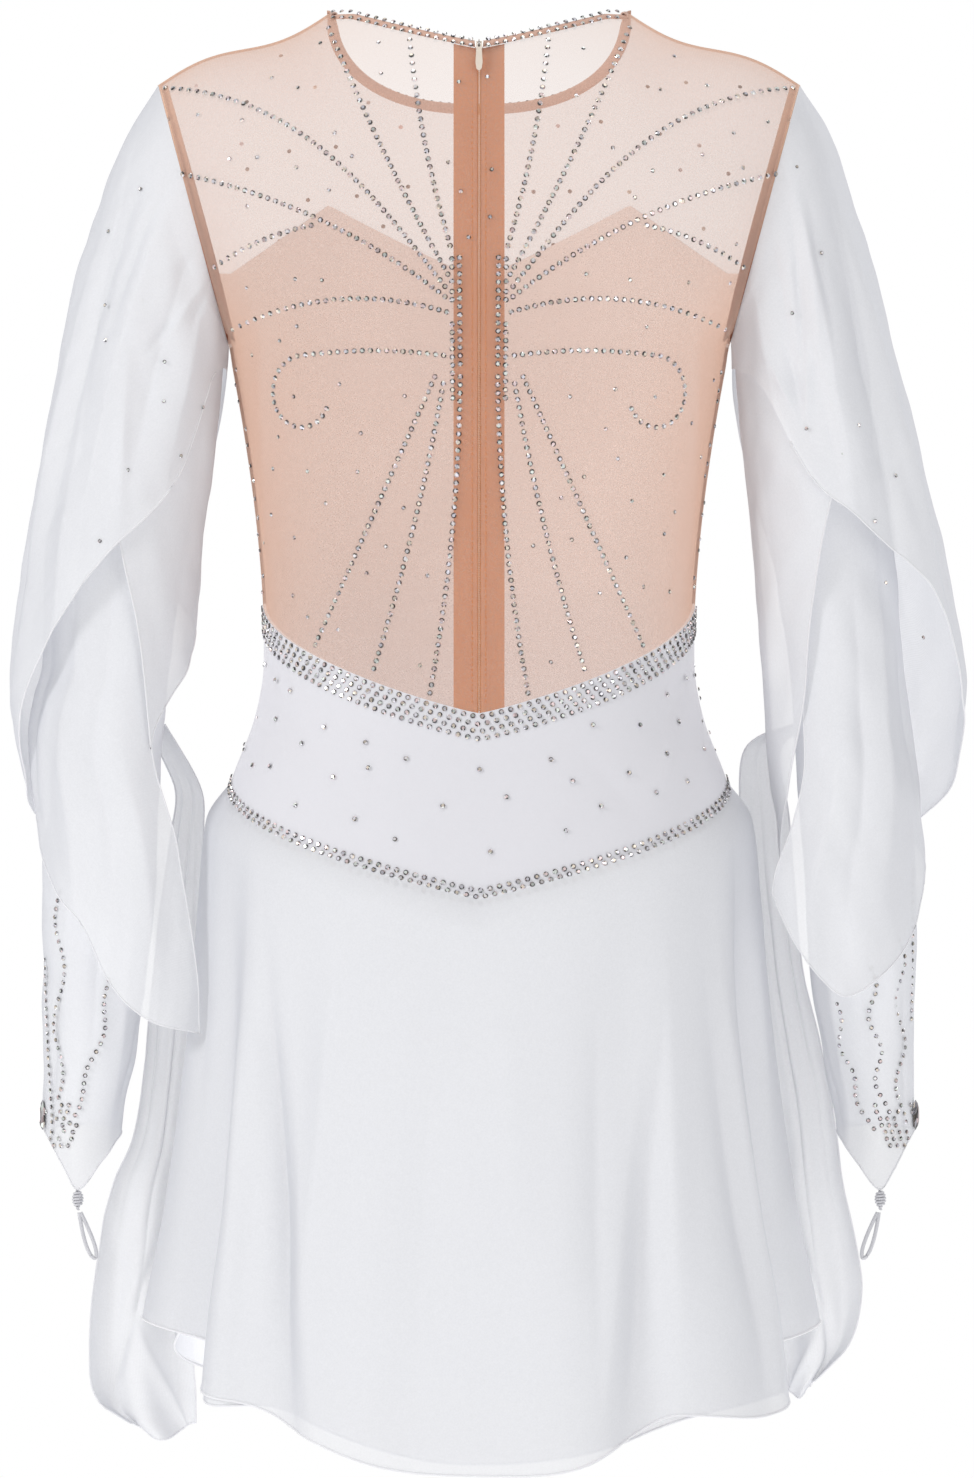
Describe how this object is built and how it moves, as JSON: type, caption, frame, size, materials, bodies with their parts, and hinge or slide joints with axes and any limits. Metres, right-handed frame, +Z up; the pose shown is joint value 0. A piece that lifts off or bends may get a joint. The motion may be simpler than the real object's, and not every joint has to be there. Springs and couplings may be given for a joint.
{
  "type": "figure skating dress",
  "caption": "Long-sleeved figure skating dress, filled out as worn and hollow, with a zipped mesh back, a pointed hip yoke, a short flared skirt and layered sleeves.",
  "frame": {"origin": "midway between the two shoulder seams, on the seams' line, where the wearer's shoulders hold the dress up", "axes": "+Z up the wearer, -Y out of the zipped back, +X to the wearer's right"},
  "size_m": [0.5674, 0.3157, 0.8647],
  "materials": {
    "skin_mesh": "fine sheer knitted mesh",
    "skin_lining": "matt stretch lining",
    "copper_tape": "woven tape and coil",
    "zip_metal": "enamelled",
    "white_stretch": "smooth matt stretch",
    "white_chiffon": "light chiffon",
    "cut_glass": "faceted"
  },
  "bodies": {
    "dress": {"back_panel_left": "skin_mesh", "back_panel_right": "skin_mesh", "front_panel": "skin_mesh", "front_lining": "skin_lining", "neck_binding_back_left": "skin_mesh", "neck_binding_back_right": "skin_mesh", "neck_binding_front": "skin_mesh", "armhole_binding_left": "copper_tape", "armhole_binding_right": "copper_tape", "zip_tape_left": "copper_tape", "zip_tape_right": "copper_tape", "zip_chain": "copper_tape", "zip_slider": "zip_metal", "basque_back": "white_stretch", "basque_front": "white_stretch", "skirt_back": "white_chiffon", "skirt_front": "white_chiffon", "skirt_under": "white_chiffon", "sleeve_over_left": "white_chiffon", "sleeve_over_right": "white_chiffon", "sleeve_fitted_upper_left": "white_chiffon", "sleeve_fitted_lower_left": "white_chiffon", "sleeve_fitted_upper_right": "white_chiffon", "sleeve_fitted_lower_right": "white_chiffon", "sleeve_flap_left": "white_chiffon", "sleeve_flap_right": "white_chiffon", "sleeve_petal_left": "white_chiffon", "sleeve_petal_right": "white_chiffon", "sleeve_wing_left": "white_chiffon", "sleeve_wing_right": "white_chiffon", "cuff_gem_left": "cut_glass", "cuff_gem_right": "cut_glass", "finger_knot_left": "white_stretch", "finger_knot_right": "white_stretch", "finger_loop_left": "white_stretch", "finger_loop_right": "white_stretch"},
    "pull_tab": {"zip_pull": "zip_metal"}
  },
  "joints": [
    {"name": "pull_hinge", "type": "hinge", "parent": "dress", "child": "pull_tab", "pos_m": [0, -0.07012, 0.00174], "axis": [-1, 0, 0], "range_deg": [0, 150]}
  ]
}
